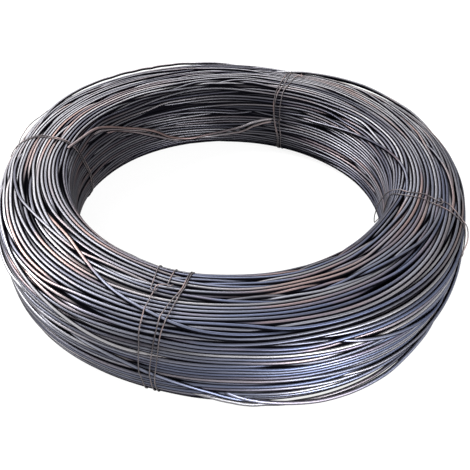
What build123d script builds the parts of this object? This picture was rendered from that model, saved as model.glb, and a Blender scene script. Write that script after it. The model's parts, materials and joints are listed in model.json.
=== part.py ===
from build123d import *
from math import cos, floor, pi, radians, sin
import os

# A coil of wire rod, lying flat and held together by wire ties. Millimetres.
# The origin is on the floor, at the middle of the coil. +Z is up along the
# coil's axis, and angles are counted from +X towards +Y.

# The rod, and the bundle that its turns make
ROD_DIA = 5.5
OUTER_DIA = 710.0
BORE_DIA = 480.0
COIL_HEIGHT = 138.0
# The bundle is rounded at its four shoulders, drawn as a few flat courses
SHOULDER_R = 34.0
SHOULDER_COURSES = 3

# Two turns of the lower end hang lowest and carry the coil, this many turns in
# from each shoulder. Each is pressed to a narrow flat where it meets the floor.
REST_TURN = 2
REST_FLAT = 2.5

# The tie wire has few sides, and TIE_DIA is measured across its corners
TIE_DIA = 1.3
TIE_SIDES = 6
# How near a tie comes to the shoulders' courses, to the turns beside its groove
# and to the floor
TIE_CLEARANCE = 0.02
TIE_SIDE_GAP = 0.3
TIE_FLOOR_GAP = 0.3
# A tie's bent end is this long, and lies this far out from the bore wall
TIE_TAIL = 7.0
TIE_TAIL_SETBACK = 45.0

# Each tie: the angle of its plane, and the side to which its bent end points
TIES = {
    "tie_front_1": (254.0, 1),
    "tie_front_2": (256.8, 1),
    "tie_front_3": (258.6, 1),
    "tie_left_1": (173.2, -1),
    "tie_left_2": (174.1, 1),
    "tie_back_1": (67.8, -1),
    "tie_back_2": (70.4, -1),
    "tie_back_3": (71.4, 1),
    "tie_right_1": (339.4, -1),
    "tie_right_2": (341.6, 1),
}

# Sizes that follow from those above
OUTER_R = OUTER_DIA / 2
BORE_R = BORE_DIA / 2
GROOVE_DEPTH = ROD_DIA / 2
TIE_HALF = TIE_DIA / 2 * cos(pi / TIE_SIDES)
# A tie's middle line stands this far off the shoulders' corners, so that the tie
# lies flat along the courses between them
TIE_STAND_OFF = (TIE_HALF + TIE_CLEARANCE) / cos(pi / 4 / SHOULDER_COURSES)
# The turns that don't touch the floor stand this high, over the ties
UNDERSIDE_Z = TIE_FLOOR_GAP + TIE_HALF + TIE_STAND_OFF
# The middles of the shoulders: the level stretch of each end lies between these
# radii, and the upright stretch of each wall between these heights
INNER_SHOULDER = BORE_R + SHOULDER_R
OUTER_SHOULDER = OUTER_R - SHOULDER_R
LOWER_SHOULDER = UNDERSIDE_Z + SHOULDER_R
UPPER_SHOULDER = COIL_HEIGHT - SHOULDER_R
# The level stretch holds a whole number of turns
LEVEL = OUTER_SHOULDER - INNER_SHOULDER
TURN_GAPS = floor(LEVEL / ROD_DIA)
TURN_PITCH = LEVEL / TURN_GAPS


def shoulder(middle, first_angle, reach):
    """The corners of one rounded shoulder, over a quarter turn clockwise."""
    corners = []
    for course in range(SHOULDER_COURSES + 1):
        angle = radians(first_angle - 90 * course / SHOULDER_COURSES)
        corners.append((middle[0] + reach * cos(angle), middle[1] + reach * sin(angle)))
    return corners


def round_bundle(reach, top=(), underside=()):
    """The corners of a line round the bundle, clockwise from the top of the bore wall.

    reach is how far the line stands out from the middles of the shoulders. The
    points of the turns go in between, outwards on the top and inwards below.
    """
    points = shoulder((INNER_SHOULDER, UPPER_SHOULDER), 180, reach)
    points += top
    points += shoulder((OUTER_SHOULDER, UPPER_SHOULDER), 90, reach)
    points += shoulder((OUTER_SHOULDER, LOWER_SHOULDER), 0, reach)
    points += underside
    points += shoulder((INNER_SHOULDER, LOWER_SHOULDER), 270, reach)
    return points


def end_turns(crest_z, groove_z, rest_turns=()):
    """The grooves and crests across the level stretch of an end, outwards.

    The first and last crests are corners of the shoulders and aren't repeated.
    A rest turn reaches down to the floor, where it has its flat.
    """
    points = []
    for turn in range(1, TURN_GAPS + 1):
        radius = INNER_SHOULDER + turn * TURN_PITCH
        points.append((radius - TURN_PITCH / 2, groove_z))
        if turn in rest_turns:
            points.append((radius - REST_FLAT / 2, 0))
            points.append((radius + REST_FLAT / 2, 0))
        elif turn < TURN_GAPS:
            points.append((radius, crest_z))
    return points


def coil_section():
    """The bundle's section with its turns, drawn in radius and height."""
    top = end_turns(COIL_HEIGHT, COIL_HEIGHT - GROOVE_DEPTH)
    rest_turns = (REST_TURN, TURN_GAPS - REST_TURN)
    underside = end_turns(UNDERSIDE_Z, UNDERSIDE_Z + GROOVE_DEPTH, rest_turns)
    outline = round_bundle(SHOULDER_R, top, underside[::-1])
    return Plane.XZ * make_face(Polyline(*outline, close=True))


def tie_groove(angle):
    """The gap that a tie takes through the turns that carry the coil."""
    size = (LEVEL, TIE_DIA + 2 * TIE_SIDE_GAP, UNDERSIDE_Z)
    gap = Box(*size, align=(Align.MIN, Align.CENTER, Align.MIN))
    return Rot(0, 0, angle) * Pos(INNER_SHOULDER, 0, 0) * gap


def wire_rod_coil():
    """The whole coil as one turned solid, with its turns on both ends."""
    coil = revolve(coil_section(), axis=Axis.Z)
    for angle, _ in TIES.values():
        coil -= tie_groove(angle)
    return coil


def tie_path():
    """The middle line of a tie pulled tight round the bundle, from the bore wall."""
    corners = round_bundle(SHOULDER_R + TIE_STAND_OFF)
    first, last = Vector(*corners[0]), Vector(*corners[-1])
    return Plane.XZ * Polyline((first + last) / 2, *corners, close=True)


def wire_tie(angle, tail_side):
    """One tie: a closed loop of wire round the bundle, with one bent end."""
    path = tie_path()
    across = Rot(0, 0, 180 / TIE_SIDES) * RegularPolygon(TIE_DIA / 2, TIE_SIDES)
    start = Plane(path @ 0, x_dir=(1, 0, 0), z_dir=(0, 0, 1))
    loop = sweep(start * across, path=path, transition=Transition.RIGHT)
    tail_foot = (BORE_R + TIE_TAIL_SETBACK, 0, COIL_HEIGHT + TIE_STAND_OFF)
    tail_plane = Plane(tail_foot, x_dir=(0, 0, 1), z_dir=(0, tail_side, 0))
    tail = extrude(tail_plane * across, TIE_TAIL)
    return Rot(0, 0, angle) * (loop + tail)


os.makedirs("parts", exist_ok=True)
export_step(wire_rod_coil(), "parts/wire_rod_coil.step")
for name, (tie_angle, tail_side) in TIES.items():
    export_step(wire_tie(tie_angle, tail_side), f"parts/{name}.step")
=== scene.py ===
import json
from math import cos, pi, radians, sin

import bpy
import numpy as np
from mathutils import Matrix, Vector


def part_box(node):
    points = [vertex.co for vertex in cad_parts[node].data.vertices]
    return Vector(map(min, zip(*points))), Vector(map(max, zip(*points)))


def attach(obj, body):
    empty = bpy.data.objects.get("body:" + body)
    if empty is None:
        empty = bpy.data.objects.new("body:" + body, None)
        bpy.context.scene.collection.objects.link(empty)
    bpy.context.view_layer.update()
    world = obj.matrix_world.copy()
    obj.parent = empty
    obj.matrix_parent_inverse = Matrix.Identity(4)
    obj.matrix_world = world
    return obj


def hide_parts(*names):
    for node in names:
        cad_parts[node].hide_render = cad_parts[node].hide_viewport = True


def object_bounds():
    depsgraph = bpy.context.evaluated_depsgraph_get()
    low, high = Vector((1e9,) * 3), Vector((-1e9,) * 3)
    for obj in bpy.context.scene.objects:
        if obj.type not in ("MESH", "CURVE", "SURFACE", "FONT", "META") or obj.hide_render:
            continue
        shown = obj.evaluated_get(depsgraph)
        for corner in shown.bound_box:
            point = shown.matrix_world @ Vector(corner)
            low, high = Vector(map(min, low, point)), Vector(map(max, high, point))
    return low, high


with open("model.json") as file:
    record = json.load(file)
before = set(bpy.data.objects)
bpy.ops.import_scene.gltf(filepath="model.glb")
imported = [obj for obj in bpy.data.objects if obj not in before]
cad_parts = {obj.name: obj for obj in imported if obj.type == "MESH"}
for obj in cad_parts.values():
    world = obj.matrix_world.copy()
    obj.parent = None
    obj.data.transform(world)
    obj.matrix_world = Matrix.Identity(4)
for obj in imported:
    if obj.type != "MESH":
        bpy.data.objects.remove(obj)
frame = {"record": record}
CAD_LOW, CAD_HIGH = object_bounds()

# Lengths are in metres, and angles in degrees from +X towards +Y
MM = 0.001

# The bundle, from the frame
OUTER_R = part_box("wire_rod_coil")[1].x
MOUNTS = {mount["name"]: mount for mount in frame["record"]["mounts"]}
BORE_R = MOUNTS["bore"]["dims"]["r_mm"] * MM

# The rod, the room that each turn keeps for itself, and the tie wire
ROD_DIA = 5.2 * MM
ROD_R = ROD_DIA / 2
ROD_ROOM = 5.2 * MM
TIE_DIA = 1.5 * MM
TIE_R = TIE_DIA / 2

# The turns lie this high over the floor and reach this high, with room over
# them for the turns that cross on top
UNDERSIDE = 1.6 * MM
TOPSIDE = 137.0 * MM
LIMIT_Z = 138.9 * MM
# The bundle's section is a rounded box: 2 would be an ellipse, and more is squarer
SQUARENESS = 4.2
# How far inside the coil's width the outline and the single rods stay, and how
# far inside the box the ties and loose rods stay in height
OUTLINE_MARGIN = 0.5 * MM
ROD_MARGIN = 0.3 * MM
HEIGHT_MARGIN = 0.1 * MM

# How far the plan stands out from the true circles, at angles in degrees, in mm
OUTSIDE_SWELL = [
    (0, -5), (20, 3), (45, 3), (70, -6), (110, 1), (135, 4), (155, -1), (174, -11),
    (190, -13), (205, -7), (225, 1), (256, -3), (290, 6), (315, 5), (340, -6),
]
INSIDE_SWELL = [(25, 3), (85, -2), (145, 3), (205, -1), (265, 1), (300, -3), (325, -8), (350, -1)]
# The swells are smoothed over this many degrees
SWELL_SMOOTHING = 9.0
# The ties squeeze the bundle by this much, over this many degrees on each side
TIE_ANGLES = [256.5, 173.7, 69.8, 340.5]
TIE_SQUEEZE = 2.0 * MM
TIE_SQUEEZE_WIDTH = 7.0

# The turns settle at this many stations round the coil, and their mesh has one
# more ring after each
STATIONS = 144
FINER = 2
RINGS = STATIONS * FINER
# The turns of the surface, and of the layer under it
SURFACE_TURNS = 91
UNDER_TURNS = 80
SEED = 7
# How deep the middles of the surface turns and of the turns under them lie
SURFACE_DEPTH = ROD_R
UNDER_DEPTH = ROD_R + 0.93 * ROD_DIA
# How far groups of turns and single turns wander sideways, in mm, and how far
# single turns rise and sink, in rod diameters
GROUP_WANDER = 3.4
SINGLE_WANDER = 3.0
DEPTH_WANDER = 0.4
# The groups wander in up to so many waves round the coil and round the section
GROUP_WAVES = 5
GROUP_WAVES_ACROSS = 6
# How wide the waves of single turns are, and about a radian, in degrees
SIDEWAYS_WAVE = 36
DEPTH_WAVE = 32
RADIAN = 57.3
# How strongly each turn is drawn to its home in one step: the wound turns, a
# crossing turn where it has dived under the others, and how much more on top
TURN_PULL = 0.03
DIVED_PULL = 0.05
CROSSING_PULL = 0.25
# A crossing turn's home rises and dives so far, and it may stand so far out of
# the outline, in rod diameters
CROSSING_RISE = 0.8
CROSSING_DIVE = 1.9
CROSSING_PROUD = 0.45
# Turns nearer than this, in rod diameters, are tested for touching
NEAR_TURNS = 1.7
# When two turns press into each other, one slides over the other by this share
LIFT_SHARE = 0.8
# How many steps the turns take to settle and then to rest, with the shares of
# parting and straightening in each. The near pairs are found anew every so many.
SETTLING_STEPS = 260
RESTING_STEPS = 30
PARTING = 0.3
SETTLING_STIFFNESS = 0.5
RESTING_STIFFNESS = 0.35
SETTLING_REFRESH = 12
RESTING_REFRESH = 10


def around(table, angles):
    """Smooth values at angles in degrees, from a table that goes round the coil."""
    fine = np.arange(360)
    keys, values = np.array(table, float).T
    line = np.interp(fine, keys, values, period=360)
    reach = np.minimum(fine, 360 - fine)
    weights = np.exp(-0.5 * (reach / SWELL_SMOOTHING) ** 2)
    smooth = np.fft.ifft(np.fft.fft(line) * np.fft.fft(weights / weights.sum())).real
    return np.interp(angles, fine, smooth, period=360)


def squeeze(angles):
    """How tightly the ties hold the bundle at these angles, from 0 to 1."""
    held = np.zeros_like(angles)
    for tie in TIE_ANGLES:
        off = (angles - tie + 180) % 360 - 180
        held = held + np.exp(-0.5 * (off / TIE_SQUEEZE_WIDTH) ** 2)
    return held


def box_share(angles):
    """How far a radius of 1 at these angles reaches across a square box, from 0 to 1."""
    turn = np.radians(angles)
    return np.maximum(abs(np.cos(turn)), abs(np.sin(turn)))


def section(angles):
    """Middle radius, half width, middle height and half height of the bundle."""
    angles = np.asarray(angles, float)
    outer = OUTER_R + around(OUTSIDE_SWELL, angles) * MM
    outer = np.minimum(outer, (OUTER_R - OUTLINE_MARGIN) / box_share(angles))
    inner = BORE_R + around(INSIDE_SWELL, angles) * MM
    held = squeeze(angles) * TIE_SQUEEZE
    half_width = (outer - inner) / 2 - held / 2
    half_height = (TOPSIDE - UNDERSIDE) / 2 - held / 2
    middle_z = np.full_like(angles, (TOPSIDE + UNDERSIDE) / 2) - held / 2
    return (outer + inner) / 2, half_width, middle_z, half_height


# The outline is laid out at this angle, with so many points, and a place on it is
# looked for among so many
NOMINAL_ANGLE = 45.0
OUTLINE_POINTS = 1440
PLACE_TRIES = 720


def nominal_line():
    """The section's outline in unit half widths, even along its length, with normals.

    It starts at the middle of the outside wall and goes up, over the top, down
    the bore and back under.
    """
    turn = np.linspace(0, 2 * pi, OUTLINE_POINTS * 4 + 1)
    power = 2 / SQUARENESS
    x = np.sign(np.cos(turn)) * abs(np.cos(turn)) ** power
    y = np.sign(np.sin(turn)) * abs(np.sin(turn)) ** power
    _, half_width, _, half_height = section(np.array([NOMINAL_ANGLE]))
    step = np.hypot(np.diff(x) * half_width, np.diff(y) * half_height)
    length = np.concatenate([[0], np.cumsum(step)])
    even = np.linspace(0, length[-1], OUTLINE_POINTS, endpoint=False)
    x, y = np.interp(even, length, x), np.interp(even, length, y)
    nx = np.sign(x) * abs(x) ** (SQUARENESS - 1) / half_width
    ny = np.sign(y) * abs(y) ** (SQUARENESS - 1) / half_height
    size = np.hypot(nx, ny)
    return np.stack([x, y, nx / size, ny / size]), length[-1]


LINE, GIRTH = nominal_line()


def on_section(place, depth, angles):
    """Radius and height of a place on the section, from 0 to 1, this deep in it."""
    middle_r, half_width, middle_z, half_height = section(angles)
    at = (np.asarray(place) % 1) * OUTLINE_POINTS
    grid = np.arange(OUTLINE_POINTS)
    x, y, nx, ny = (np.interp(at, grid, row, period=OUTLINE_POINTS) for row in LINE)
    return middle_r + x * half_width - depth * nx, middle_z + y * half_height - depth * ny


def place_of(radius, height, angle):
    """The place on the section, from 0 to 1, that lies nearest to a point."""
    places = np.arange(0, 1, 1 / PLACE_TRIES)
    r, z = on_section(places, 0, np.full(PLACE_TRIES, float(angle)))
    return places[np.argmin((r - radius) ** 2 + (z - height) ** 2)]


def depth_in(points, shape):
    """How deep each point lies inside the outline, and the way out of the bundle."""
    middle_r, half_width, middle_z, half_height = shape
    x = (points[:, 0] - middle_r) / half_width
    y = (points[:, 1] - middle_z) / half_height
    size = np.maximum(abs(x) ** SQUARENESS + abs(y) ** SQUARENESS, 1e-9) ** (1 / SQUARENESS)
    gx = np.sign(x) * (abs(x) / size) ** (SQUARENESS - 1) / half_width
    gy = np.sign(y) * (abs(y) / size) ** (SQUARENESS - 1) / half_height
    slope = np.maximum(np.hypot(gx, gy), 1e-9)
    return (1 - size) / slope, np.stack([gx / slope, gy / slope], 1)


# Turns that cross over their neighbours on the surface: for each one, the angle,
# radius and height of the places that it passes, in mm, read off the photo where
# it shows them
CROSSING_TURNS = [
    [
        (190, 318, 136), (203.8, 311, 138), (210, 302, 138), (218, 294, 138), (230.3, 290, 138),
        (243, 286, 136),
    ],
    [
        (222, 283, 136), (234.2, 293, 138), (239.5, 306, 138), (244.3, 318, 138), (254, 330, 136),
        (266, 344, 128),
    ],
    [(248, 355, 70), (260.8, 355, 53), (267.2, 355, 38), (272.8, 352, 19), (282, 345, 8)],
    [(54, 336, 130), (43, 325, 137), (28.8, 310, 138), (11.5, 309, 138), (-6, 320, 138), (-14, 324, 138)],
    [(196, 334, 132), (210, 338, 128), (224, 346, 118), (240, 353, 100), (252, 355, 84)],
    [(286, 352, 116), (298, 354, 100), (312, 354, 80), (328, 353, 64)],
    [(296, 290, 138), (308, 300, 138), (322, 308, 138), (336, 310, 138)],
    [(84, 300, 138), (98, 308, 138), (116, 318, 138), (132, 326, 136)],
    [(20, 352, 96), (36, 354, 80), (52, 354, 66), (66, 354, 60)],
    [(84, 354, 60), (104, 354, 76), (124, 354, 98), (144, 352, 112)],
    [(180, 352, 60), (196, 354, 76), (212, 354, 84), (230, 354, 78)],
    [(292, 354, 40), (310, 354, 46), (328, 354, 60), (342, 354, 80)],
    [(350, 262, 134), (2, 256, 128), (20, 246, 116), (40, 241, 100), (56, 240, 88)],
    [(74, 240, 60), (96, 240, 52), (120, 240, 60), (140, 240, 76)],
]

# A crossing turn comes up among its places, and dives past them, over so many degrees
RISE_OVER = 12.0
DIVE_OVER = 26.0


def ease(share):
    """A smooth step from 0 to 1."""
    share = np.clip(share, 0, 1)
    return share * share * (3 - 2 * share)


def crossing_path(points, angles):
    """A crossing turn's home place at each angle, and how far it has risen and dived."""
    keys = np.array(points, float)
    spread = np.degrees(np.unwrap(np.radians(keys[:, 0])))
    order = np.argsort(spread)
    spread, keys = spread[order], keys[order]
    places = [place_of(r * MM, z * MM, a) for a, (_, r, z) in zip(spread, keys)]
    places = np.unwrap(np.array(places) * 2 * pi) / (2 * pi)
    first, last = spread[0], spread[-1]
    turned = first + (angles - first) % 360
    place = np.interp(turned, np.append(spread, first + 360), np.append(places, places[0]))
    rise = ease((turned - first) / RISE_OVER) * ease((last - turned) / RISE_OVER)
    past = ease((turned - last) / DIVE_OVER) * ease((first + 360 - turned) / DIVE_OVER)
    return place, rise, past


def room_for(angles, radius):
    """The largest radius at which a wire this thick stays within the coil's width."""
    return (OUTER_R - ROD_MARGIN - radius) / box_share(angles)


def wander(rng, turns, wave, size):
    """A smooth random line along turns that run on into each other, (turns, stations)."""
    length = turns * STATIONS
    noise = np.fft.rfft(rng.normal(size=length))
    waves = np.fft.rfftfreq(length) * STATIONS
    line = np.fft.irfft(noise * np.exp(-0.5 * (waves * wave / RADIAN) ** 2), length)
    return (line / line.std() * size).reshape(turns, STATIONS)


def group_wander(rng, place, round_share):
    """How far neighbouring turns shift together, as a share of the section's girth."""
    shift = np.zeros_like(place)
    for waves in range(1, GROUP_WAVES + 1):
        for across in range(1, GROUP_WAVES_ACROSS + 1):
            size = rng.normal() * GROUP_WANDER / (waves ** 0.7 * across ** 0.5)
            lag = rng.uniform(0, 2 * pi)
            way = rng.choice([-1, 1])
            shift += size * np.cos(2 * pi * (waves * round_share * way + across * place) + lag)
    return shift * MM / GIRTH


def home_lines(angles):
    """Where each turn would lie by itself at each station, (turns, stations).

    Gives its place on the section, its depth and the pull towards them, and for
    each turn the number of the turn that it runs on into. The surface turns run
    round the section one way, and the turns under them the other way.
    """
    rng = np.random.default_rng(SEED)
    round_share = np.arange(STATIONS) / STATIONS
    home, depth, pull, ahead = [], [], [], []
    first = 0
    for turns, deep, lay in ((SURFACE_TURNS, SURFACE_DEPTH, 1), (UNDER_TURNS, UNDER_DEPTH, -1)):
        place = (np.arange(turns)[:, None] + lay * round_share[None, :]) / turns
        place = place + group_wander(rng, place, round_share)
        place = place + wander(rng, turns, SIDEWAYS_WAVE, SINGLE_WANDER * MM / GIRTH)[::lay]
        home.append(place)
        depth.append(deep + wander(rng, turns, DEPTH_WAVE, DEPTH_WANDER * ROD_DIA)[::lay])
        pull.append(np.full((turns, STATIONS), TURN_PULL))
        ahead.append(first + (np.arange(turns) + lay) % turns)
        first += turns
    for points in CROSSING_TURNS:
        place, risen, dived = crossing_path(points, angles)
        home.append(place[None, :])
        deep = ROD_R - CROSSING_RISE * ROD_DIA * risen + CROSSING_DIVE * ROD_DIA * dived
        depth.append(deep[None, :])
        pull.append((DIVED_PULL + CROSSING_PULL * (1 - dived))[None, :])
        ahead.append(np.array([first]))
        first += 1
    return [np.concatenate(rows) for rows in (home, depth, pull, ahead)]


def settled_turns():
    """Radius and height of every turn at every ring, once they lie on each other.

    Each turn is drawn to a home that wanders a little, keeps its stiffness and
    is pushed off the turns that it touches, so that turns bunch, part and cross.
    """
    angles = np.arange(STATIONS) * 360 / STATIONS
    home, depth, pull, ahead = home_lines(angles)
    count = len(home)
    every = np.tile(angles, count)
    target = np.stack(on_section(home.ravel(), depth.ravel(), every), 1)
    target[:, 1] = np.minimum(target[:, 1], LIMIT_Z - ROD_R)
    pull = pull.reshape(-1, 1)
    shape = section(every)
    widest = room_for(every, ROD_R)
    least_depth = np.full(count, ROD_R)
    least_depth[-len(CROSSING_TURNS):] = -CROSSING_PROUD * ROD_DIA
    least_depth = np.repeat(least_depth, STATIONS)

    # The points before and after each point along the rod
    index = np.arange(count * STATIONS).reshape(count, STATIONS)
    after = np.concatenate([index[:, 1:], index[ahead, :1]], 1).ravel()
    before = np.empty_like(after)
    before[after] = index.ravel()

    def near_pairs(points):
        """The pairs of points that lie close together at the same station."""
        pairs = []
        for station in range(STATIONS):
            row = points[index[:, station]]
            gap = ((row[:, None] - row[None]) ** 2).sum(2)
            i, j = np.nonzero(np.triu(gap < (NEAR_TURNS * ROD_DIA) ** 2, 1))
            pairs.append(np.stack([index[i, station], index[j, station]]))
        return np.concatenate(pairs, 1)

    def part(points, pairs):
        """Pushes pairs apart that press into each other, every other one over its neighbour."""
        i, j = pairs
        apart = points[i] - points[j]
        gap = np.hypot(apart[:, 0], apart[:, 1])
        bite = np.maximum(ROD_ROOM - gap, 0)
        upper = np.where((i // STATIONS + j // STATIONS) % 2 == 0, 1.0, -1.0)
        apart += outward[i] * (upper * bite * LIFT_SHARE)[:, None]
        size = np.maximum(np.hypot(apart[:, 0], apart[:, 1]), 1e-7)
        move = apart * (bite * PARTING / size)[:, None]
        for axis in (0, 1):
            points[:, axis] += np.bincount(i, move[:, axis], len(points))
            points[:, axis] -= np.bincount(j, move[:, axis], len(points))

    def contain(points):
        """Keeps the turns inside the outline and the coil's box."""
        inside, out = depth_in(points, shape)
        outward[:] = out
        over = np.maximum(least_depth - inside, 0)
        points -= out * over[:, None]
        points[:, 0] = np.minimum(points[:, 0], widest)
        points[:, 1] = np.clip(points[:, 1], UNDERSIDE + ROD_R, LIMIT_Z - ROD_R)

    def straighten(points, share):
        """Draws each point towards its neighbours, as a stiff rod would."""
        near = (points[after] + points[before]) * (2 / 3)
        far = (points[after[after]] + points[before[before]]) / 6
        points += share * (near - far - points)
        points += share * 0.5 * (0.5 * (points[after] + points[before]) - points)

    points = target.copy()
    outward = depth_in(points, shape)[1]
    for step in range(SETTLING_STEPS):
        if step % SETTLING_REFRESH == 0:
            pairs = near_pairs(points)
        points += pull * (target - points)
        straighten(points, SETTLING_STIFFNESS)
        part(points, pairs)
        part(points, pairs)
        contain(points)
    for step in range(RESTING_STEPS):
        if step % RESTING_REFRESH == 0:
            pairs = near_pairs(points)
        straighten(points, RESTING_STIFFNESS)
        part(points, pairs)
        contain(points)
    straighten(points, RESTING_STIFFNESS)
    contain(points)
    # The ring between two stations lies on the cubic through the four around it
    between = (9 * (points + points[after]) - points[before] - points[after[after]]) / 16
    return np.stack([points, between], 1).reshape(count, RINGS, 2)


# The painted shade is laid as if light came to a rod level from outside the bundle
# and, in this share, from above. A side that faces it less than this is darkened
# with painted shade.
LIT_TILT = 1.1
LIT_EDGE = 0.97
# The ends of loose wires are drawn in to this share of their width
END_TAPER = 0.6
# How many sides the rods and ties have, and the turns under the surface
ROD_SIDES = 8
UNDER_SIDES = 6
# A turn is darkened with painted shade where its middle lies deeper than this, wholly at so much more
DIM_FROM = 1.8 * ROD_R
DIM_OVER = 2.2 * ROD_DIA
# Where the noise along the pieces starts, in metres, and its steps from one turn or
# wire to the next, so that no two look alike
UNDER_START = 200.0
CROSSING_STEP = 2.8
LOOSE_START = 900.0
LOOSE_STEP = 2.1
TIE_STEP = 2.0


def directions(rings, closed):
    """The way a line of points goes at each of them."""
    forward = np.roll(rings, -1, 0) - np.roll(rings, 1, 0)
    if not closed:
        forward[0], forward[-1] = rings[1] - rings[0], rings[-1] - rings[-2]
    return forward / np.linalg.norm(forward, axis=1)[:, None]


def carried_side(forward):
    """A direction square to the line that turns with it as little as it can."""
    side = np.empty_like(forward)
    last = np.array([0.6, -0.8, 0.0])
    for i, way in enumerate(forward):
        last = last - way * last.dot(way)
        last /= np.linalg.norm(last)
        side[i] = last
    return side


def tube(rings, radius, sides, along, closed, out, sunk=0.0, free=False, shade=1.0):
    """A tube round a line of points: its points, lengths, painted shade and whether it is closed.

    rings is (points, 3), and along is each point's length from the start. out
    is the way out of the bundle at each point, and sunk is how deep it lies, which
    adds painted shade. A free tube may point any way, and any other runs round the
    coil. shade is how dark the painted shade is on the sides that face into the bundle.
    """
    forward = directions(rings, closed)
    if free:
        side = carried_side(forward)
    else:
        side = np.cross(np.tile([0.0, 0.0, 1.0], (len(rings), 1)), forward)
        side /= np.linalg.norm(side, axis=1)[:, None]
    over = np.cross(forward, side)
    turn = np.arange(sides) * 2 * pi / sides
    circle = np.cos(turn)[:, None] * side[:, None] + np.sin(turn)[:, None] * over[:, None]
    reach = np.full((len(rings), 1, 1), radius)
    if not closed:
        reach[[0, -1]] *= END_TAPER
    # Painted shade: sides that face away from the way out of the bundle and up are darkened, and deep
    # turns too
    open_way = out.copy()
    open_way[:, 2] = np.maximum(open_way[:, 2], 0) + LIT_TILT
    open_way /= np.linalg.norm(open_way, axis=1)[:, None]
    facing = (circle * open_way[:, None]).sum(2)
    painted_shade = np.clip(LIT_EDGE - facing, 0, 1) * shade + np.asarray(sunk).reshape(-1, 1)
    return rings[:, None] + reach * circle, along, painted_shade, closed


def stretch_of(whole, first, last):
    """The stretch of a tube from one of its rings to another."""
    points, along, painted_shade, _ = whole
    rows = np.arange(first, last + 1) % len(along)
    return points[rows], along[rows], painted_shade[rows], False


def join_tubes(name, tubes):
    """One mesh object from several tubes, with caps on those that are open."""
    faces, caps, base = [], [], 0
    for points, _, _, closed in tubes:
        rows, sides, _ = points.shape
        first = np.arange(rows if closed else rows - 1)[:, None] * sides + np.arange(sides)[None]
        last = (first // sides + 1) % rows * sides + np.arange(sides)[None]
        quads = np.stack([first, np.roll(first, -1, 1), np.roll(last, -1, 1), last], 2).reshape(-1, 4)
        faces.extend((quads + base).tolist())
        if not closed:
            last = base + (rows - 1) * sides
            caps.extend([len(faces), len(faces) + 1])
            faces.append(list(range(base, base + sides))[::-1])
            faces.append(list(range(last, last + sides)))
        base += rows * sides
    mesh = bpy.data.meshes.new(name)
    corners = np.concatenate([points.reshape(-1, 3) for points, _, _, _ in tubes])
    mesh.from_pydata(corners.tolist(), [], faces)
    mesh.shade_smooth()
    for cap in caps:
        mesh.polygons[cap].use_smooth = False
    lengths = [np.repeat(along, points.shape[1]) for points, along, _, _ in tubes]
    # The painted shade is stored on the mesh for the materials
    painted_shades = [painted_shade.ravel() for _, _, painted_shade, _ in tubes]
    for key, rows in (("along", lengths), ("painted_shade", painted_shades)):
        stored = mesh.attributes.new(key, "FLOAT", "POINT")
        stored.data.foreach_set("value", np.concatenate(rows).astype(np.float32))
    piece = bpy.data.objects.new(name, mesh)
    bpy.context.scene.collection.objects.link(piece)
    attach(piece, "root")
    return piece


def round_the_coil(points, angles):
    """Points in space from radius and height at each angle."""
    turn = np.radians(angles)
    radius, height = points[..., 0], points[..., 1]
    return np.stack([radius * np.cos(turn), radius * np.sin(turn), height], -1)


def lengths_along(rings, start=0.0):
    """Each point's length along a line."""
    step = np.linalg.norm(np.diff(rings, axis=0), axis=1)
    return start + np.concatenate([[0], np.cumsum(step)])


def turn_tube(turns, order, sides, start, every=1):
    """One closed tube through several turns that run on into each other."""
    line = np.concatenate([turns[i] for i in order])[::every]
    at = np.arange(len(line)) * every % RINGS * 360 / RINGS
    rings = round_the_coil(line, at)
    inside, out = depth_in(line, section(at))
    # Turns that lie deep get painted shade
    sunk = np.clip((inside - DIM_FROM) / DIM_OVER, 0, 1)
    along = lengths_along(rings, start)
    return tube(rings, ROD_R, sides, along, True, round_the_coil(out, at), sunk)


def turn_pieces(turns):
    """The rod's turns as a few joined tubes: surface turns, under turns, crossing turns."""
    surface = turn_tube(turns, range(SURFACE_TURNS), ROD_SIDES, 0.0)
    names = ("turns_outside", "turns_bore", "turns_below")
    cuts = [SURFACE_TURNS * part // len(names) * RINGS for part in range(len(names) + 1)]
    made = [
        join_tubes(name, [stretch_of(surface, first, last)])
        for name, first, last in zip(names, cuts, cuts[1:])
    ]
    under = [SURFACE_TURNS + -i % UNDER_TURNS for i in range(UNDER_TURNS)]
    under_tube = turn_tube(turns, under, UNDER_SIDES, UNDER_START, FINER)
    made.append(join_tubes("under_turns", [under_tube]))
    crossing = range(SURFACE_TURNS + UNDER_TURNS, len(turns))
    tubes = [turn_tube(turns, [i], ROD_SIDES, CROSSING_STEP * i) for i in crossing]
    made.append(join_tubes("crossing_turns", tubes))
    return made


# A taut wire's line is found from this many tangents round the section. One that
# faces the wire's way less than this counts as far off.
TAUT_SIDES = 180
LEAST_FACING = 0.05
FAR_OFF = 9.0
# A wire's points lie about this far apart, from so many along each span of keys
WIRE_STEP = 2.2 * MM
SPAN_POINTS = 24
# A tie sways sideways in these numbers of waves along its length
WOBBLE_WAVES = (3, 5, 8, 13)


def taut_line(turns, angles, ways, radius):
    """Where a wire pulled tight over the bundle passes at each angle, in each way.

    ways holds angles about the section's middle, in radians. The wire lies on
    the turns' outermost sides and spans the dips between them.
    """
    # Past the last ring the wire lies on the last one
    at = np.minimum(angles / 360 * RINGS % RINGS, RINGS - 1.001)
    low = at.astype(int)
    share = (at - low)[:, None]
    cut = (turns[:, low] * (1 - share) + turns[:, low + 1] * share).transpose(1, 0, 2)
    middle_r, _, middle_z, _ = section(angles)
    middle = np.stack([middle_r, middle_z], 1)
    turn = np.arange(TAUT_SIDES) * 2 * pi / TAUT_SIDES
    sides = np.stack([np.cos(turn), np.sin(turn)])
    reach = ((cut - middle[:, None]) @ sides).max(1) + ROD_R + radius
    facing = np.cos(turn[None] - ways[:, None])
    length = np.where(facing > LEAST_FACING, reach / np.maximum(facing, LEAST_FACING), FAR_OFF).min(1)
    out = np.stack([np.cos(ways), np.sin(ways)], 1)
    return middle + out * length[:, None], out


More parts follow.
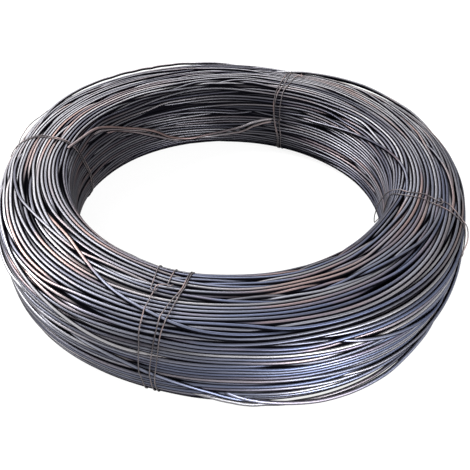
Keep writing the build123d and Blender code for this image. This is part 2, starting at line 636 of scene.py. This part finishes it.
def smooth_line(keys):
    """Points along a smooth curve through a few keys, which it doesn't overshoot."""
    keys = np.concatenate([2 * keys[:1] - keys[1:2], keys, 2 * keys[-1:] - keys[-2:-1]])
    spans = []
    t = np.linspace(0, 1, SPAN_POINTS, endpoint=False)[:, None]
    for a, b, c, d in zip(keys, keys[1:], keys[2:], keys[3:]):
        step = abs(c - b)
        slope_b = np.clip((c - a) / 2, -1.5 * step, 1.5 * step)
        slope_c = np.clip((d - b) / 2, -1.5 * step, 1.5 * step)
        spans.append(
            b * (1 - t) ** 2 * (1 + 2 * t) + slope_b * t * (1 - t) ** 2
            + c * t ** 2 * (3 - 2 * t) - slope_c * t ** 2 * (1 - t)
        )
    return np.concatenate([*spans, keys[-2:-1]])


def evenly(points, closed):
    """The same line with its points evenly spaced."""
    line = np.concatenate([points, points[:1]]) if closed else points
    length = lengths_along(line)
    count = int(length[-1] / WIRE_STEP)
    even = np.linspace(0, length[-1], count, endpoint=not closed)
    return np.stack([np.interp(even, length, line[:, axis]) for axis in range(3)], 1)


def wire(turns, keys, radius, start, shade, closed=False, wobble=0.0, seed=0):
    """A wire laid over the bundle through keys: angle, radius, height and lift in mm.

    It lies tight on the turns, as far round the section as the key's radius and
    height say, and stands off them by the lift. A closed one repeats three keys
    before its start and after its end, so that it is smooth there too.
    """
    keys = np.array([(*key, 0.0)[:4] for key in keys], float)
    middle_r, _, middle_z, _ = section(keys[:, 0])
    ways = np.unwrap(np.arctan2(keys[:, 2] * MM - middle_z, keys[:, 1] * MM - middle_r))
    table = np.stack([keys[:, 0], ways, keys[:, 3] * MM], 1)
    if closed:
        full = 2 * pi * np.sign(ways[-1] - ways[0])
        more = table[:3] + [0, full, 0]
        less = table[-3:] - [0, full, 0]
        table = smooth_line(np.concatenate([less, table, more]))
        table = table[3 * SPAN_POINTS:-2 * SPAN_POINTS - 1]
    else:
        table = smooth_line(table)
    angles, ways, lift = table.T
    spots, out = taut_line(turns, angles, ways, radius)
    spots = spots + out * lift[:, None]
    spots[:, 0] = np.minimum(spots[:, 0], room_for(angles, radius))
    lowest, highest = radius + HEIGHT_MARGIN, CAD_HIGH.z - HEIGHT_MARGIN - radius
    spots[:, 1] = np.clip(spots[:, 1], lowest, highest)
    line = evenly(round_the_coil(spots, angles), closed)
    if wobble:
        rng = np.random.default_rng(seed)
        length = lengths_along(line)
        sway = np.zeros(len(line))
        for waves in WOBBLE_WAVES:
            size = rng.normal() / waves ** 0.5
            sway += size * np.sin(2 * pi * waves * length / length[-1] + rng.uniform(0, 2 * pi))
        turn = np.arctan2(line[:, 1], line[:, 0])
        line[:, :2] += (sway * wobble)[:, None] * np.stack([-np.sin(turn), np.cos(turn)], 1)
    along = lengths_along(line, start)
    turn = np.degrees(np.arctan2(line[:, 1], line[:, 0]))
    middle_r, _, middle_z, _ = section(turn)
    out = np.stack([np.hypot(line[:, 0], line[:, 1]) - middle_r, line[:, 2] - middle_z], 1)
    out /= np.linalg.norm(out, axis=1)[:, None]
    out = round_the_coil(out, turn)
    return tube(line, radius, ROD_SIDES, along, closed, out, free=True, shade=shade)


def under_and_up(outer, inner):
    """A tie's way down the outside wall, under the bundle and up the bore."""
    return [
        (outer, 353, 40), (outer, 350, 8), (outer, 330, 1), ((outer + inner) / 2, 297, 0),
        (inner, 262, 1), (inner, 245, 10), (inner, 240, 36),
    ]


# Each tie is one or more wires laid through points read off the photo: angle,
# radius, height and lift in mm. The first wire of a closed tie meets its own
# start, and the others end in hooks and tails.
TIES = {
    "tie_front_1": [[
        (256.3, 288, 138, 0.6), (255.4, 289, 138, 1.4), (254.3, 291.5, 138, 1.6), (253.7, 295, 138, 0.8),
        (253.8, 301, 138), (254, 320, 137), (254, 341, 129), (254, 353, 105), (253.8, 355, 70),
        *under_and_up(254.0, 252.4), (251.6, 240, 80), (250.6, 246, 122), (251.3, 262, 135),
        (252.0, 276, 138), (252.5, 290, 138), (252.9, 299, 138, 0.6), (253.4, 302, 138, 2.0),
        (254.2, 301, 138, 2.6), (254.5, 297, 138, 1.6),
    ]],
    "tie_front_2": [[
        (260.2, 243, 112), (259.9, 250, 128), (259.8, 262, 136), (259.6, 284, 138), (259.1, 296, 138),
        (258.2, 311, 138), (257.5, 333, 136), (257, 351, 121), (256.2, 355, 81),
        *under_and_up(255.8, 255.8), (255.5, 240, 80), (255.4, 247, 124), (255.7, 265, 137),
        (255.9, 280, 138), (256, 287, 138, 0.5), (256.4, 291, 138, 1.6), (257, 289, 138, 2.0),
        (257.2, 285.5, 138, 1.0),
    ]],
    "tie_front_3": [[
        (260.3, 262, 136), (260.0, 284, 138), (259.5, 297, 138), (259.2, 311, 138), (258.8, 335, 136),
        (258, 350, 122), (257.3, 355, 79), *under_and_up(256.6, 259.6), (260.2, 240, 80),
        (260.4, 246, 122),
    ]],
    "tie_left_1": [[
        (179.6, 343, 124, 0.5), (177.6, 341, 130, 1.0), (175.8, 334, 134, 0.5), (174.2, 325, 136),
        (172.4, 312, 138), (171.6, 300, 138), (171.9, 285, 138), (172.3, 268, 137), (172.6, 252, 131),
        (171.4, 240, 108), (169.0, 240, 82), (167, 240, 60), *under_and_up(172.6, 166)[::-1],
        (173, 355, 70), (173.4, 352, 110), (173.0, 343, 126, 1.0), (171.6, 339, 133, 3.5),
        (168.4, 338, 135, 5.0), (164.6, 338, 135, 4.0), (161, 340, 134, 1.6), (154, 343, 131, 0.4),
        (146, 346, 126, 0.4),
    ]],
    "tie_left_2": [[
        (174.6, 324, 136), (173.0, 312, 138), (172.5, 300, 138), (172.7, 285, 138), (173.1, 268, 137),
        (173.6, 252, 131), (172.6, 240, 108), (170.2, 240, 82), (168, 240, 60),
        *under_and_up(174.4, 167.2)[::-1], (174.6, 355, 70), (175, 350, 112), (175.2, 338, 131),
    ]],
    "tie_back_1": [[
        (71, 311, 138), (71.1, 290, 138), (71.2, 264, 136), (71.8, 246, 124), (71.8, 240, 98),
        (70.8, 240, 66), *under_and_up(69.6, 69.0)[::-1], (69, 355, 70), (68.2, 352, 114),
        (68.6, 338, 132), (70.2, 324, 137),
    ]],
    "tie_back_2": [[
        (70, 311, 138), (69.8, 290, 138), (69.6, 264, 136), (71, 246, 124), (71.4, 240, 98),
        (70.4, 240, 66), *under_and_up(70.8, 68.5)[::-1], (70.6, 355, 70), (70.4, 352, 114),
        (70.4, 338, 132), (70.2, 324, 137),
    ]],
    "tie_back_3": [[
        (64.9, 301, 138, 2.2), (65.7, 308, 138, 1.4), (66.6, 311, 138, 0.5), (67.4, 304, 138),
        (67.7, 290, 138), (67.8, 270, 138), (68.8, 247, 127), (68.8, 240, 98), (68.3, 240, 62),
        *under_and_up(68, 67.2)[::-1], (67.6, 355, 70), (67, 352, 114), (66.6, 338, 132),
        (66.5, 322, 137), (65.7, 312, 138, 1.0), (64.6, 310, 138, 2.4),
    ]],
    "tie_right_1": [[
        (345.2, 240, 111), (341.2, 252, 131), (340.2, 264, 136), (340.2, 282, 138), (338.8, 300, 138),
        (338.2, 312, 138), (337.3, 326, 138), (336.2, 340, 132), (335.8, 351, 118, 0.5),
        *under_and_up(337.5, 347), (347.5, 240, 66),
    ], [
        (337.6, 335, 136, 0.4), (336.6, 344, 133, 2.0), (334.8, 350, 131, 6.0), (332.2, 352, 130, 9.0),
        (329.4, 352, 127, 10.0), (327.2, 352, 121, 7.0), (326.2, 353, 113, 3.0), (326, 353, 108, 1.0),
    ]],
    "tie_right_2": [[
        (355.2, 240, 34, 8.0), (352.8, 240, 54, 10.0), (349.8, 240, 78, 10.0), (346.6, 241, 104, 6.0),
        (344.0, 251, 129, 1.0), (342.2, 264, 137), (342.4, 284, 138), (340.9, 300, 138),
        (339.9, 305, 138, 1.2), (340.6, 312, 138, 0.8), (340.2, 322, 138), (338.4, 334, 136),
        (337.2, 343, 130), (337, 354, 100), (338, 355, 70), *under_and_up(339.2, 356),
    ], [
        (338.6, 297, 138, 0.4), (339.4, 302, 138, 2.2), (340.8, 304, 138, 2.6), (341.4, 308, 138, 1.6),
        (340.2, 311, 138, 1.6), (338.8, 309, 138, 2.6), (338.4, 304, 138, 1.6),
    ]],
}
CLOSED_TIES = ("tie_front_3", "tie_left_2", "tie_back_1", "tie_back_2", "tie_right_1", "tie_right_2")
TIE_WOBBLE = 0.35 * MM
TIE_SEEDS = 31


def tie_pieces(turns):
    """Each tie as a wire round the bundle, with its ends."""
    made = []
    for number, (node, wires) in enumerate(TIES.items()):
        tubes = []
        for part, keys in enumerate(wires):
            closed = part == 0 and node in CLOSED_TIES
            start = TIE_STEP * number + part
            seed = TIE_SEEDS * number + part
            tubes.append(wire(turns, keys, TIE_R, start, 1.0, closed, TIE_WOBBLE, seed))
        piece = join_tubes(node.replace("tie_", "tie_wire_"), tubes)
        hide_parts(node)
        made.append(piece)
    return made


# Stretches of rod that stand off the bundle, through angle, radius, height and
# lift in mm, with their ends in among the other turns: the leads in the bore, and
# turns that have sprung out
LEAD_RODS = [
    [
        (177.0, 253, 132, 0.5), (174, 250, 130, 2.0), (167, 246.5, 126, 2.0), (158, 244, 121, 2.5),
        (150, 241, 108, 3.0), (142.5, 240, 93, 3.0), (128.5, 240, 68, 2.5), (119.8, 240, 45, 2.0),
        (110.5, 240, 32, 1.5), (101.5, 240, 37, 1.0), (88.5, 240, 51, 0.5), (79.2, 240, 66, 0.0),
        (74, 240, 71, -4.0), (68, 240, 74, -9.0),
    ],
    [
        (160, 242, 118, -8.0), (155, 241, 113, -1.0), (148, 240, 101, 2.0), (141, 240, 87, 2.0),
        (134, 240, 75, 1.0), (130, 240, 69, -1.0), (126, 240, 64, -5.0),
    ],
    [
        (151, 240, 101, -8.0), (147, 240, 97, -3.0), (143, 240, 88, 0.5), (138, 240, 78, 1.0),
        (128.8, 240, 58.6, 0.6), (117.5, 240, 34, 0.5), (110.8, 240, 30, 0.5),
        (100.8, 240, 31, 0.5), (86.8, 240, 43, 0.5), (80, 240, 58, 0.5), (75, 240, 64, -3.0),
        (69, 240, 68, -9.0),
    ],
]
SPRUNG_RODS = [
    [
        (172, 322, 138, -9.0), (160, 332, 136, -3.0), (149, 339, 133, 0.3), (138, 343, 130, 1.6),
        (127, 345, 129, 3.0), (115, 345, 129, 3.2), (105, 342, 131, 1.5), (94, 336, 133, -2.0),
        (84, 332, 134, -8.0),
    ],
    [
        (78, 316, 138, -8.0), (70, 322, 137, -2.0), (62, 330, 135, 2.0), (54, 337, 133, 4.0),
        (46, 341, 131, 3.4), (38, 343, 129, 1.6), (28, 346, 126, 0.4), (18, 348, 122, -4.0),
        (10, 349, 120, -9.0),
    ],
    [
        (66, 340, 131, -8.0), (58, 342, 130, -1.0), (50, 344, 128, 2.0), (42, 346, 126, 2.5),
        (32, 348, 122, 1.0), (24, 350, 118, -3.0), (16, 350, 116, -8.0),
    ],
    [
        (270, 352, 34, -8.0), (276, 352, 22, -2.0), (283, 352, 12, 3.0), (290, 353, 8, 7.5),
        (297, 354, 7, 9.0), (304, 355, 8, 8.0), (311, 354, 12, 4.0), (318, 352, 20, 0.0),
        (326, 352, 28, -5.0), (334, 352, 34, -9.0),
    ],
    [
        (262, 352, 26, -8.0), (272, 351, 16, -1.0), (282, 351, 7, 2.5), (292, 351, 4, 5.0),
        (301, 352, 4, 4.5), (309, 351, 8, 1.5), (320, 350, 16, -3.0), (332, 351, 22, -9.0),
    ],
]
# How dark the painted shade is on their sides that face into the bundle
LOOSE_SHADE = 0.4


def sprung_pieces(turns):
    """The leads, which are rustier, and the sprung turns."""
    tubes = []
    for number, keys in enumerate(LEAD_RODS + SPRUNG_RODS):
        tubes.append(wire(turns, keys, ROD_R, LOOSE_START + LOOSE_STEP * number, LOOSE_SHADE))
    leads = join_tubes("lead_rods", tubes[:len(LEAD_RODS)])
    return leads, join_tubes("sprung_turns", tubes[len(LEAD_RODS):])


# The core has so many rings and sides, lies this deep and is wholly dark with painted shade
CORE_RINGS = 120
CORE_SIDES = 64
CORE_DEPTH = 2.6 * ROD_DIA
CORE_PAINTED_SHADE = 2.0


def core_piece():
    """The hidden turns under the two modelled layers, as one plain ring."""
    angles = np.repeat(np.arange(CORE_RINGS) * 360 / CORE_RINGS, CORE_SIDES)
    places = np.tile(-np.arange(CORE_SIDES) / CORE_SIDES, CORE_RINGS)
    line = np.stack(on_section(places, np.full(len(angles), CORE_DEPTH), angles), 1)
    points = round_the_coil(line, angles).reshape(CORE_RINGS, CORE_SIDES, 3)
    # The whole core is darkened with painted shade
    painted_shade = np.full((CORE_RINGS, CORE_SIDES), CORE_PAINTED_SHADE)
    return join_tubes("hidden_turns", [(points, np.zeros(CORE_RINGS), painted_shade, True)])


# Where rust shows most: a place on the coil, its reach and how strong it is
RUST_PATCHES = [
    ((-0.22, -0.2, 0.138), 0.12, 0.7), ((-0.26, 0.06, 0.138), 0.16, 0.7),
    ((0.25, 0.14, 0.138), 0.2, 0.6), ((0.25, -0.1, 0.12), 0.13, 0.6),
    ((0.08, -0.27, 0.138), 0.14, 0.5),
]
# Where a blue tint of cool light is painted in, in the same form
COOL_LIGHT_PATCH = ((0.2, -0.42, 0.0), 0.6, 1.0)
# The inner part of a patch that has its full strength
FULL_SHARE = 0.25
# The colours of dark and worn mill scale, of the painted blue tint of cool light, and of rust
DARK_SCALE = (0.07, 0.07, 0.085)
WORN_SCALE = (0.29, 0.285, 0.3)
COOL_LIGHT_BLUE = (0.085, 0.1, 0.16)
LIGHT_RUST = (0.25, 0.172, 0.155)
LEAD_RUST = (0.15, 0.105, 0.1)
# The colours of the painted shade on the bore wall and in the gaps between turns
BORE_SHADE = (0.02, 0.02, 0.03)
GAP_SHADE = (0.002, 0.002, 0.003)
# The painted shade on the bore wall begins this far out from it, and is full this far out
BORE_FADE = 26 * MM
BORE_FULL = 6 * MM
# A side is wholly dark at this much painted shade
FULL_PAINTED_SHADE = 0.3
# The colour sockets of a Mix node, which has one set of sockets for each type
MIX_FIRST, MIX_SECOND, MIX_RESULT = 6, 7, 2


def rod_material(name, rust_everywhere, rust_color, bore_shade_strength):
    """Dark mill scale with worn streaks and patches of rust, a blue tint of cool light
    painted in at the front, and painted shade in the gaps and on the bore wall.

    rust_everywhere is the strength of the rust outside its patches, and the last
    argument that of the painted shade on the bore wall.
    """
    material = bpy.data.materials.new(name)
    material.use_nodes = True
    nodes, links = material.node_tree.nodes, material.node_tree.links
    shader = nodes["Principled BSDF"]
    along = nodes.new("ShaderNodeAttribute")
    along.attribute_name = "along"

    def line_noise(scale, detail, low, high):
        """Noise along the rod, from 0 to 1 where it goes from low to high."""
        noise = nodes.new("ShaderNodeTexNoise")
        noise.noise_dimensions = "1D"
        noise.inputs["Scale"].default_value = scale
        noise.inputs["Detail"].default_value = detail
        links.new(along.outputs["Fac"], noise.inputs["W"])
        ramp = nodes.new("ShaderNodeMapRange")
        ramp.inputs["From Min"].default_value = low
        ramp.inputs["From Max"].default_value = high
        links.new(noise.outputs["Fac"], ramp.inputs["Value"])
        return ramp.outputs["Result"]

    def mix(factor, first, second):
        """A mix of two colours, each of them a socket or plain values."""
        node = nodes.new("ShaderNodeMix")
        node.data_type = "RGBA"
        links.new(factor, node.inputs[0])
        for socket, value in ((MIX_FIRST, first), (MIX_SECOND, second)):
            if isinstance(value, tuple):
                node.inputs[socket].default_value = (*value, 1)
            else:
                links.new(value, node.inputs[socket])
        return node.outputs[MIX_RESULT]

    place = nodes.new("ShaderNodeTexCoord").outputs["Object"]

    def near(middle, reach, share):
        """From share at a place on the coil to 0 at this reach from it."""
        far = nodes.new("ShaderNodeVectorMath")
        far.operation = "DISTANCE"
        far.inputs[1].default_value = middle
        links.new(place, far.inputs[0])
        fade = nodes.new("ShaderNodeMapRange")
        fade.interpolation_type = "SMOOTHSTEP"
        fade.inputs["From Min"].default_value = reach
        fade.inputs["From Max"].default_value = FULL_SHARE * reach
        fade.inputs["To Max"].default_value = share
        links.new(far.outputs["Value"], fade.inputs["Value"])
        return fade.outputs["Result"]

    def blend_of(operation, *values):
        """The sum or product of a socket and more sockets or numbers, up to 1."""
        total = values[0]
        for value in values[1:]:
            node = nodes.new("ShaderNodeMath")
            node.operation = operation
            node.use_clamp = True
            links.new(total, node.inputs[0])
            if isinstance(value, float):
                node.inputs[1].default_value = value
            else:
                links.new(value, node.inputs[1])
            total = node.outputs[0]
        return total

    grey = mix(line_noise(scale=2.3, detail=2, low=0.35, high=0.65), DARK_SCALE, WORN_SCALE)
    # A blue tint of cool light painted into the colour, in lengths along the rods, at the front
    cool_light_lengths = line_noise(scale=1.1, detail=1, low=0.35, high=0.6)
    cool_lit = mix(blend_of("MULTIPLY", cool_light_lengths, near(*COOL_LIGHT_PATCH)), grey, COOL_LIGHT_BLUE)
    rust_strength = blend_of("ADD", *[near(*patch) for patch in RUST_PATCHES], rust_everywhere)
    # The more rust there is everywhere, the longer the lengths that have it
    rust_lengths = line_noise(scale=3.1, detail=3, low=0.62 - 0.4 * rust_everywhere, high=0.66)
    rust = mix(blend_of("MULTIPLY", rust_lengths, rust_strength), cool_lit, rust_color)
    # Painted shade: sides facing into the bundle, and deep turns, are darkened towards GAP_SHADE
    painted_shade = nodes.new("ShaderNodeAttribute")
    painted_shade.attribute_name = "painted_shade"
    gap_shade_share = nodes.new("ShaderNodeMapRange")
    gap_shade_share.inputs["From Max"].default_value = FULL_PAINTED_SHADE
    gap_shade_share.interpolation_type = "SMOOTHSTEP"
    links.new(painted_shade.outputs["Fac"], gap_shade_share.inputs["Value"])
    # Painted shade on the bore wall, growing towards the bore by radius
    flat = nodes.new("ShaderNodeVectorMath")
    flat.operation = "MULTIPLY"
    flat.inputs[1].default_value = (1, 1, 0)
    links.new(place, flat.inputs[0])
    radius = nodes.new("ShaderNodeVectorMath")
    radius.operation = "LENGTH"
    links.new(flat.outputs["Vector"], radius.inputs[0])
    bore = nodes.new("ShaderNodeMapRange")
    bore.interpolation_type = "SMOOTHSTEP"
    bore.inputs["From Min"].default_value = BORE_R + BORE_FADE
    bore.inputs["From Max"].default_value = BORE_R + BORE_FULL
    bore.inputs["To Max"].default_value = bore_shade_strength
    links.new(radius.outputs["Value"], bore.inputs["Value"])
    bore_shaded = mix(bore.outputs["Result"], rust, BORE_SHADE)
    shaded = mix(gap_shade_share.outputs["Result"], bore_shaded, GAP_SHADE)
    links.new(shaded, shader.inputs["Base Color"])
    # The painted shade in the gaps also takes away their metal shine and reflection
    for socket, most in (("Metallic", 0.85), ("Specular IOR Level", 0.4)):
        bare = nodes.new("ShaderNodeMapRange")
        bare.inputs["To Min"].default_value = most
        bare.inputs["To Max"].default_value = 0.0
        links.new(gap_shade_share.outputs["Result"], bare.inputs["Value"])
        links.new(bare.outputs["Result"], shader.inputs[socket])
    shader.inputs["Specular Tint"].default_value = (0.4, 0.4, 0.45, 1)
    rough = nodes.new("ShaderNodeMapRange")
    rough.inputs["To Min"].default_value = 0.34
    rough.inputs["To Max"].default_value = 0.5
    links.new(line_noise(scale=9.0, detail=3, low=0.3, high=0.7), rough.inputs["Value"])
    links.new(rough.outputs["Result"], shader.inputs["Roughness"])
    scale = nodes.new("ShaderNodeTexNoise")
    scale.inputs["Scale"].default_value = 700.0
    scale.inputs["Detail"].default_value = 2.0
    links.new(place, scale.inputs["Vector"])
    bump = nodes.new("ShaderNodeBump")
    bump.inputs["Strength"].default_value = 0.12
    bump.inputs["Distance"].default_value = 0.1 * MM
    links.new(scale.outputs["Fac"], bump.inputs["Height"])
    links.new(bump.outputs["Normal"], shader.inputs["Normal"])
    return material


# The colours of the tie wire from darkest to lightest, each with its place on the
# noise along it, and the painted shade that its sides facing into the bundle are darkened to
TIE_COLORS = [
    (0.35, (0.05, 0.04, 0.042)), (0.52, (0.11, 0.095, 0.1)), (0.68, (0.2, 0.145, 0.14)),
]
TIE_SHADE = (0.006, 0.005, 0.006)


def tie_material():
    """Dull annealed wire, dark brown to greyish pink."""
    material = bpy.data.materials.new("tie_wire")
    material.use_nodes = True
    nodes, links = material.node_tree.nodes, material.node_tree.links
    shader = nodes["Principled BSDF"]
    along = nodes.new("ShaderNodeAttribute")
    along.attribute_name = "along"
    noise = nodes.new("ShaderNodeTexNoise")
    noise.noise_dimensions = "1D"
    noise.inputs["Scale"].default_value = 26.0
    noise.inputs["Detail"].default_value = 3.0
    links.new(along.outputs["Fac"], noise.inputs["W"])
    ramp = nodes.new("ShaderNodeValToRGB")
    ramp.color_ramp.elements.new(0.5)
    for element, (spot, color) in zip(ramp.color_ramp.elements, TIE_COLORS):
        element.position = spot
        element.color = (*color, 1)
    links.new(noise.outputs["Fac"], ramp.inputs["Fac"])
    # Painted shade from the mesh darkens the tie's sides that face into the bundle
    painted_shade = nodes.new("ShaderNodeAttribute")
    painted_shade.attribute_name = "painted_shade"
    shade = nodes.new("ShaderNodeMix")
    shade.data_type = "RGBA"
    shade.inputs[MIX_SECOND].default_value = (*TIE_SHADE, 1)
    links.new(painted_shade.outputs["Fac"], shade.inputs[0])
    links.new(ramp.outputs["Color"], shade.inputs[MIX_FIRST])
    links.new(shade.outputs[MIX_RESULT], shader.inputs["Base Color"])
    shader.inputs["Metallic"].default_value = 0.6
    rough = nodes.new("ShaderNodeMapRange")
    rough.inputs["To Min"].default_value = 0.4
    rough.inputs["To Max"].default_value = 0.65
    links.new(noise.outputs["Fac"], rough.inputs["Value"])
    links.new(rough.outputs["Result"], shader.inputs["Roughness"])
    grain = nodes.new("ShaderNodeTexNoise")
    grain.inputs["Scale"].default_value = 1500.0
    links.new(nodes.new("ShaderNodeTexCoord").outputs["Object"], grain.inputs["Vector"])
    bump = nodes.new("ShaderNodeBump")
    bump.inputs["Strength"].default_value = 0.3
    bump.inputs["Distance"].default_value = 0.05 * MM
    links.new(grain.outputs["Fac"], bump.inputs["Height"])
    links.new(bump.outputs["Normal"], shader.inputs["Normal"])
    return material


# How far the floor reaches, and the share of plain white that is seen in it
FLOOR_REACH = 12.0
FLOOR_WHITE = 0.86


def show_white(material, share):
    """Mixes plain white into what the camera and the reflections see of a surface."""
    nodes, links = material.node_tree.nodes, material.node_tree.links
    path = nodes.new("ShaderNodeLightPath")
    seen = nodes.new("ShaderNodeMath")
    seen.operation = "ADD"
    seen.use_clamp = True
    links.new(path.outputs["Is Camera Ray"], seen.inputs[0])
    links.new(path.outputs["Is Glossy Ray"], seen.inputs[1])
    both = nodes.new("ShaderNodeMath")
    both.operation = "ADD"
    both.use_clamp = True
    links.new(seen.outputs[0], both.inputs[0])
    links.new(path.outputs["Is Transmission Ray"], both.inputs[1])
    part = nodes.new("ShaderNodeMath")
    part.operation = "MULTIPLY"
    part.inputs[1].default_value = share
    links.new(both.outputs[0], part.inputs[0])
    white = nodes.new("ShaderNodeEmission")
    mixer = nodes.new("ShaderNodeMixShader")
    links.new(part.outputs[0], mixer.inputs[0])
    links.new(nodes["Principled BSDF"].outputs[0], mixer.inputs[1])
    links.new(white.outputs[0], mixer.inputs[2])
    links.new(mixer.outputs[0], nodes["Material Output"].inputs["Surface"])


def stage():
    """A pale floor that shows white and keeps the coil's shadow."""
    mesh = bpy.data.meshes.new("floor")
    corners = [(x * FLOOR_REACH, y * FLOOR_REACH, 0) for x, y in ((-1, -1), (1, -1), (1, 1), (-1, 1))]
    mesh.from_pydata(corners, [], [(0, 1, 2, 3)])
    floor = bpy.data.objects.new("floor", mesh)
    bpy.context.scene.collection.objects.link(floor)
    material = bpy.data.materials.new("floor")
    material.use_nodes = True
    shader = material.node_tree.nodes["Principled BSDF"]
    shader.inputs["Base Color"].default_value = (0.9, 0.9, 0.9, 1)
    shader.inputs["Roughness"].default_value = 0.9
    floor.data.materials.append(material)
    show_white(material, FLOOR_WHITE)


# The world's strength, and the lamps: place, size in metres and power in watts
WORLD_STRENGTH = 0.43
LAMPS = {
    "key": ((-2.2, 0.7, 1.9), 1.3, 290),
    "front": ((1.5, -2.0, 1.3), 1.2, 185),
    "left": ((-2.4, -1.0, 0.5), 0.9, 12),
    "back": ((-0.5, 2.5, 2.2), 1.8, 90),
}


def lights():
    """A plain pale world and soft lamps that look at the coil's middle."""
    world = bpy.data.worlds.new("studio")
    bpy.context.scene.world = world
    world.use_nodes = True
    background = world.node_tree.nodes["Background"]
    background.inputs["Color"].default_value = (1, 1, 1, 1)
    background.inputs["Strength"].default_value = WORLD_STRENGTH
    for name, (place, size, power) in LAMPS.items():
        light = bpy.data.lights.new(name, "AREA")
        light.size = size
        light.energy = power
        lamp = bpy.data.objects.new(name, light)
        lamp.location = place
        lamp.rotation_euler = (-Vector(place)).to_track_quat("-Z", "Y").to_euler()
        bpy.context.scene.collection.objects.link(lamp)


# The camera: how far it is from the coil's middle on the floor, its angle above
# the floor, its lens and sensor in mm, its shift, and its roll in degrees
CAMERA_DISTANCE = 2.74139 * OUTER_R
CAMERA_ELEVATION = 39.264
CAMERA_LENS = 44.77
SENSOR_WIDTH = 36
CAMERA_SHIFT = (0.0108, -0.0218)
CAMERA_ROLL = 1.572


def camera():
    """The photo's view, from the front and above."""
    data = bpy.data.cameras.new("camera")
    data.lens = CAMERA_LENS
    data.sensor_width = SENSOR_WIDTH
    data.shift_x, data.shift_y = CAMERA_SHIFT
    data.clip_start = 0.01
    item = bpy.data.objects.new("camera", data)
    rise = radians(CAMERA_ELEVATION)
    back = Vector((0, -cos(rise), sin(rise)))
    item.location = back * CAMERA_DISTANCE
    turn = (-back).to_track_quat("-Z", "Y").to_matrix() @ Matrix.Rotation(radians(CAMERA_ROLL), 3, "Z")
    item.rotation_euler = turn.to_euler()
    bpy.context.scene.collection.objects.link(item)
    bpy.context.scene.camera = item


bpy.context.scene.view_settings.view_transform = "Standard"
camera()
lights()
stage()
turns = settled_turns()
steel = rod_material("rod_steel", rust_everywhere=0.24, rust_color=LIGHT_RUST, bore_shade_strength=0.65)
rusty_steel = rod_material("rod_steel_rusty", 1.0, LEAD_RUST, bore_shade_strength=0.0)
tie_steel = tie_material()
for piece in tie_pieces(turns):
    piece.data.materials.append(tie_steel)
leads, sprung = sprung_pieces(turns)
for piece in turn_pieces(turns) + [leads, sprung, core_piece()]:
    piece.data.materials.append(rusty_steel if piece == leads else steel)
    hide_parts("wire_rod_coil")
